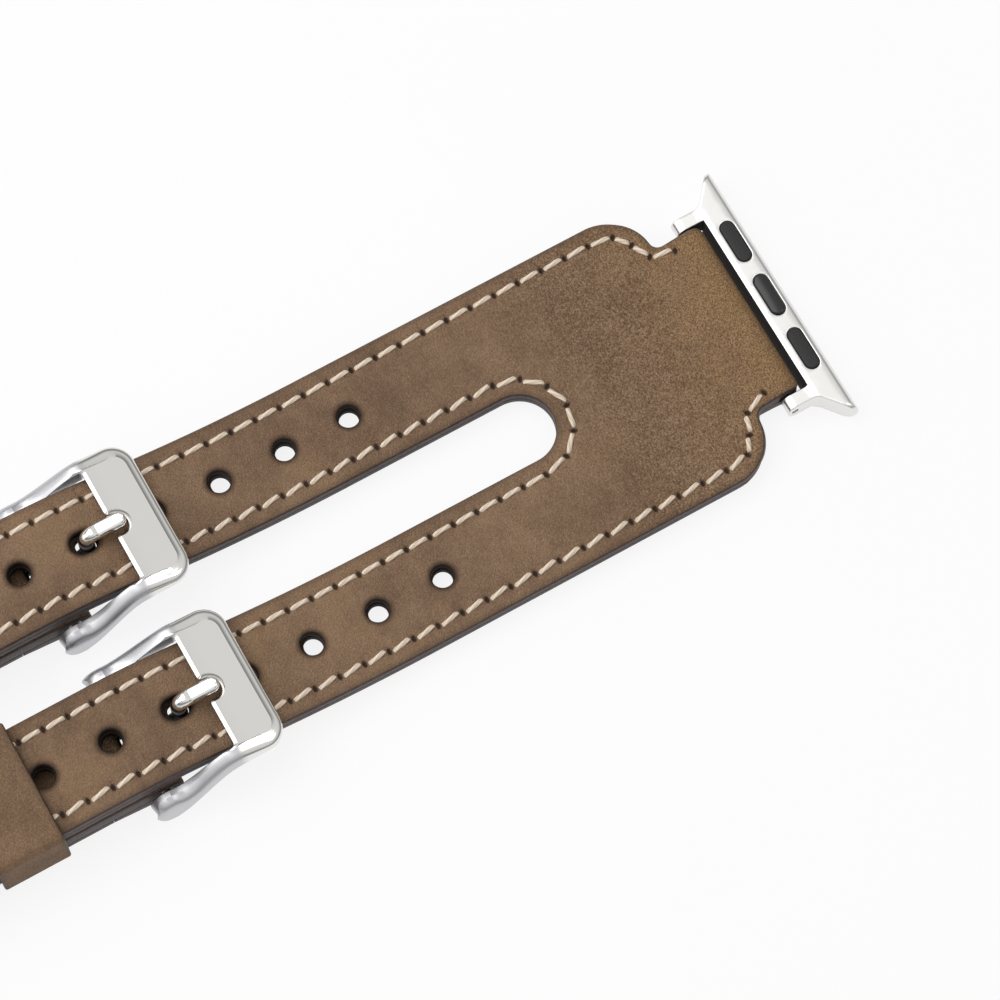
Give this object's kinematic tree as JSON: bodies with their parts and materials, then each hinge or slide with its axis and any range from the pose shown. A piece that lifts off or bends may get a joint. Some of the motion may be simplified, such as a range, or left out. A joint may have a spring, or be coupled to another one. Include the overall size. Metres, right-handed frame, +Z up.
{
  "type": "twin strap leather watch band",
  "caption": "Leather watch band whose halves split into paired straps with small steel buckles, keepers and slide-in lug adapters, buckled and lying flat.",
  "frame": {"origin": "centre of the buckled band's footprint, on the surface that it lies on", "axes": "+X along the band towards the tail half's lug adapter, +Y across it, +Z up, away from the wrist side"},
  "size_m": [0.1782, 0.0424, 0.0091],
  "materials": {
    "leather_top": "brown aniline, distressed, matte",
    "leather_lining": "dark brown, matte",
    "leather_keeper": "brown, satin",
    "waxed_thread": "cream waxed thread",
    "satin_steel": "satin",
    "polished_steel": "polished steel",
    "spring_steel": "drawn",
    "pad_rubber": "matte",
    "button_plastic": "gloss"
  },
  "bodies": {
    "band": {"tail_half_leather": "leather_top", "tail_half_lining": "leather_lining", "tail_half_stitching": "waxed_thread", "tail_half_lining_stitching": "waxed_thread", "buckle_half_leather": "leather_top", "buckle_half_lining": "leather_lining", "buckle_half_stitching": "waxed_thread", "buckle_half_lining_stitching": "waxed_thread", "tail_lug_bar_tube": "spring_steel", "tail_lug_bar_spring": "spring_steel", "end_lug_bar_tube": "spring_steel", "end_lug_bar_spring": "spring_steel", "left_bar_tube": "spring_steel", "left_bar_spring": "spring_steel", "left_fixed_keeper": "leather_keeper", "right_bar_tube": "spring_steel", "right_bar_spring": "spring_steel", "right_fixed_keeper": "leather_keeper"},
    "tail_lug": {"tail_lug_adapter": "satin_steel", "tail_lug_pad_left": "pad_rubber", "tail_lug_pad_right": "pad_rubber", "tail_latch_spring": "spring_steel"},
    "end_lug": {"end_lug_adapter": "satin_steel", "end_lug_pad_left": "pad_rubber", "end_lug_pad_right": "pad_rubber", "end_latch_spring": "spring_steel"},
    "tail_latch": {"tail_latch_button": "button_plastic"},
    "end_latch": {"end_latch_button": "button_plastic"},
    "tail_lug_bar_tip_left": {"tail_lug_bar_tip_left": "spring_steel"},
    "tail_lug_bar_tip_right": {"tail_lug_bar_tip_right": "spring_steel"},
    "end_lug_bar_tip_left": {"end_lug_bar_tip_left": "spring_steel"},
    "end_lug_bar_tip_right": {"end_lug_bar_tip_right": "spring_steel"},
    "left_buckle_frame": {"left_buckle_frame": "polished_steel"},
    "left_tongue": {"left_tongue": "polished_steel"},
    "left_bar_tip_outer": {"left_bar_tip_outer": "spring_steel"},
    "left_bar_tip_inner": {"left_bar_tip_inner": "spring_steel"},
    "left_loose_keeper": {"left_loose_keeper": "leather_keeper"},
    "right_buckle_frame": {"right_buckle_frame": "polished_steel"},
    "right_tongue": {"right_tongue": "polished_steel"},
    "right_bar_tip_outer": {"right_bar_tip_outer": "spring_steel"},
    "right_bar_tip_inner": {"right_bar_tip_inner": "spring_steel"},
    "right_loose_keeper": {"right_loose_keeper": "leather_keeper"}
  },
  "joints": [
    {"name": "tail_lug_swing", "type": "hinge", "parent": "band", "child": "tail_lug", "pos_m": [0.0826, 0, 0.00205], "axis": [0, -1, 0], "range_deg": [-90, 90]},
    {"name": "tail_latch_press", "type": "slide", "parent": "tail_lug", "child": "tail_latch", "axis": [0, 0, -1], "range_m": [0, 0.0008], "stiffness_N_per_m": 100, "deforming": ["tail_latch_spring"]},
    {"name": "tail_lug_bar_tip_left_push", "type": "slide", "parent": "band", "child": "tail_lug_bar_tip_left", "axis": [0, -1, 0], "range_m": [0, 0.0014], "stiffness_N_per_m": 100, "deforming": ["tail_lug_bar_spring"]},
    {"name": "tail_lug_bar_tip_right_push", "type": "slide", "parent": "band", "child": "tail_lug_bar_tip_right", "axis": [0, 1, 0], "range_m": [0, 0.0014], "stiffness_N_per_m": 100, "deforming": ["tail_lug_bar_spring"]},
    {"name": "end_lug_swing", "type": "hinge", "parent": "band", "child": "end_lug", "pos_m": [-0.0826, 0, 0.00205], "axis": [0, 1, 0], "range_deg": [-90, 90]},
    {"name": "end_latch_press", "type": "slide", "parent": "end_lug", "child": "end_latch", "axis": [0, 0, -1], "range_m": [0, 0.0008], "stiffness_N_per_m": 100, "deforming": ["end_latch_spring"]},
    {"name": "end_lug_bar_tip_left_push", "type": "slide", "parent": "band", "child": "end_lug_bar_tip_left", "axis": [0, -1, 0], "range_m": [0, 0.0014], "stiffness_N_per_m": 100, "deforming": ["end_lug_bar_spring"]},
    {"name": "end_lug_bar_tip_right_push", "type": "slide", "parent": "band", "child": "end_lug_bar_tip_right", "axis": [0, 1, 0], "range_m": [0, 0.0014], "stiffness_N_per_m": 100, "deforming": ["end_lug_bar_spring"]},
    {"name": "left_buckle_lift", "type": "hinge", "parent": "band", "child": "left_buckle_frame", "pos_m": [-0.0041, 0.01145, 0.0022], "axis": [0, -1, 0], "range_deg": [0, 4]},
    {"name": "left_tongue_lift", "type": "hinge", "parent": "left_buckle_frame", "child": "left_tongue", "pos_m": [-0.0041, 0.01145, 0.0022], "axis": [0, -1, 0], "range_deg": [0, 3]},
    {"name": "left_bar_tip_outer_push", "type": "slide", "parent": "band", "child": "left_bar_tip_outer", "axis": [0, -1, 0], "range_m": [0, 0.0014], "stiffness_N_per_m": 100, "deforming": ["left_bar_spring"]},
    {"name": "left_bar_tip_inner_push", "type": "slide", "parent": "band", "child": "left_bar_tip_inner", "axis": [0, 1, 0], "range_m": [0, 0.0014], "stiffness_N_per_m": 100, "deforming": ["left_bar_spring"]},
    {"name": "left_keeper_slide", "type": "slide", "parent": "band", "child": "left_loose_keeper", "axis": [1, 0, 0], "range_m": [-0.005, 0.005]},
    {"name": "right_buckle_lift", "type": "hinge", "parent": "band", "child": "right_buckle_frame", "pos_m": [-0.0041, -0.01145, 0.0022], "axis": [0, -1, 0], "range_deg": [0, 4]},
    {"name": "right_tongue_lift", "type": "hinge", "parent": "right_buckle_frame", "child": "right_tongue", "pos_m": [-0.0041, -0.01145, 0.0022], "axis": [0, -1, 0], "range_deg": [0, 3]},
    {"name": "right_bar_tip_outer_push", "type": "slide", "parent": "band", "child": "right_bar_tip_outer", "axis": [0, 1, 0], "range_m": [0, 0.0014], "stiffness_N_per_m": 100, "deforming": ["right_bar_spring"]},
    {"name": "right_bar_tip_inner_push", "type": "slide", "parent": "band", "child": "right_bar_tip_inner", "axis": [0, -1, 0], "range_m": [0, 0.0014], "stiffness_N_per_m": 100, "deforming": ["right_bar_spring"]},
    {"name": "right_keeper_slide", "type": "slide", "parent": "band", "child": "right_loose_keeper", "axis": [1, 0, 0], "range_m": [-0.005, 0.005]}
  ]
}
